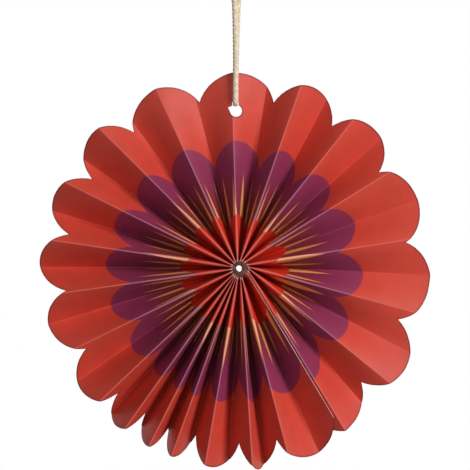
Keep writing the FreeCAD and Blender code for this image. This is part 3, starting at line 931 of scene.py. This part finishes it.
def makeFan():
    grainGroup = makeGrainGroup()
    printed = makePrintMaterial(grainGroup)
    plain = makePlainMaterial("card_back", ink["paper"], grainGroup)
    rimEdge = makePlainMaterial("rim_edge", card["rimEdgeColour"], grainGroup)
    cutEdge = makePlainMaterial("cut_edge", card["cutEdgeColour"], grainGroup)
    piece, kinds = makeCardMesh()
    for material in (printed, plain, rimEdge, cutEdge):
        piece.data.materials.append(material)
    piece.data.polygons.foreach_set("material_index", kinds)
    punchHole(piece, rimEdge)
    piece.data.set_sharp_from_angle(angle=math.radians(card["sharpAngle"]))
    return piece


# Glue: a lumpy ring behind the hub
glue = {
    "holeRadius": 0.00155,
    "outerRadius": 0.0068,
    "front": 0.01292,           # behind the hanging point
    "rear": 0.01416,
    "centre": (0.0012, -0.148),
    "segments": 96,
    "rings": 22,
    "waviness": 0.0007,
    "waves": 1.7,
    "lumpScale": 900.0,
    "lumpShare": 0.14,          # of half the thickness
    "edgePower": 0.55,          # 1 for a round section, less for a boxy one
    "facePower": 0.70,
    "pointAngle": 160.0,        # clockwise from the top, where the hole is pointed
    "pointPower": 6,
    "pointShare": 0.24,         # of the hole's radius
    "plainShare": 0.90,
    "colour": (0.640, 0.440, 0.260),
    "darkColour": (0.300, 0.190, 0.100),
    "cloudScale": 700.0,
    "cloudRange": (0.35, 0.68),
    "flecks": (0.980, 0.480, 0.400),            # torn card in the glue, with a painted lit side: more of it outwards and low on the left
    "litSideCentre": (0.0018, -0.1474),           # and low on the left
    "litSideReach": (1.1, 2.2),   # in hole radii
    "litSideShare": 0.34,
    "fleckScale": 1300.0,
    "fleckRange": (0.60, 0.70),
    "fleckShare": 0.85,
    "bumpStrength": 0.6,
    "bumpDistance": 0.0002,
    "roughness": 0.6,
    "specular": 0.25,
}


def makeGlueMaterial():
    material, tree, shader = newMaterial("dried_glue", glue["roughness"], glue["specular"])
    where = addNode(tree, "ShaderNodeTexCoord").outputs["Object"]
    cloud = addNoise(tree, where, glue["cloudScale"], 4.0)
    specks = addNoise(tree, where, glue["fleckScale"], 2.0)
    share = softStep(tree, cloud, *glue["cloudRange"])
    colour = mixColour(tree, share, glue["darkColour"], glue["colour"])
    near, far = (glue["holeRadius"] * radii for radii in glue["litSideReach"])
    # painted light: the pale flecks thicken outwards and low on the left, as the lit side of the
    # ring
    paintedLitSide = softStep(tree, distanceFrom(tree, *glue["litSideCentre"]), near, far)
    fleck = calc(tree, "MULTIPLY_ADD", paintedLitSide, glue["litSideShare"], specks)
    fleck = softStep(tree, fleck, *glue["fleckRange"])
    fleck = calc(tree, "MULTIPLY", fleck, glue["fleckShare"])
    colour = mixColour(tree, fleck, colour, glue["flecks"])
    tree.links.new(colour, shader.inputs["Base Color"])
    addBump(tree, shader, cloud, glue["bumpStrength"], glue["bumpDistance"])
    return material


def glueHole(turn):                                         # its radius; pointed low on the right
    toPoint = max(math.cos(turn - math.radians(glue["pointAngle"])), 0.0)
    point = glue["pointShare"] * toPoint ** glue["pointPower"]
    return glue["holeRadius"] * (glue["plainShare"] + point)


def boxy(value, power):                                     # of a sine or cosine
    return math.copysign(abs(value) ** power, value)


def makeGlue(material):
    middle = (glue["front"] + glue["rear"]) / 2
    half = (glue["rear"] - glue["front"]) / 2
    vertices, faces, places = [], [], []
    segments, rings = glue["segments"], glue["rings"]
    for k in range(segments):
        turn = 2 * math.pi * k / segments
        waves = glue["waves"]
        wobble = noise.noise(Vector((math.cos(turn) * waves, math.sin(turn) * waves, 0.3)))
        outer = glue["outerRadius"] - glue["waviness"] * (0.5 + 0.5 * wobble)
        ringMiddle = (outer + glueHole(turn)) / 2
        ringHalf = (outer - glueHole(turn)) / 2
        for m in range(rings):
            around = 2 * math.pi * m / rings
            radius = ringMiddle + ringHalf * boxy(math.cos(around), glue["edgePower"])
            spot = radius * glue["lumpScale"]
            lump = noise.noise(Vector((spot * math.cos(turn), spot * math.sin(turn), 4.0)))
            thick = half * (1 + glue["lumpShare"] * (lump - 1))
            across = boxy(math.sin(around), glue["facePower"])
            back = middle + across * (half if across < 0 else thick)
            vertices.append((glue["centre"][0] + radius * math.sin(turn), back,
                             glue["centre"][1] + radius * math.cos(turn)))
            places.append((k / segments, m / rings))
    for k in range(segments):
        for m in range(rings):
            a, b = k * rings + m, k * rings + (m + 1) % rings
            after = (k + 1) % segments * rings
            faces.append((a, b, after + (m + 1) % rings, after + m))
    piece = newPiece("glue_ring", vertices, faces, places)
    piece.data.materials.append(material)
    return piece


def attach(piece, node):
    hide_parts(node)
    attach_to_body(piece, "root")
    print(f"{piece.name}: {len(piece.data.polygons)} faces")


bpy.context.scene.view_settings.view_transform = "Standard"
makeCamera()
twineMaterial = makeTwineMaterial()
twineLoop, twineLine = makeTwine(twineMaterial)
overhandKnot = makeKnot(twineMaterial)
attach(twineLoop, "twine")
attach(overhandKnot, "twine_knot")
for lampName, lampValues in studio["lamps"].items():
    makeLamp(lampName, *lampValues)
makeStage()
attach(makeFan(), "pleated_fan")
attach(makeGlue(makeGlueMaterial()), "hub_glue")
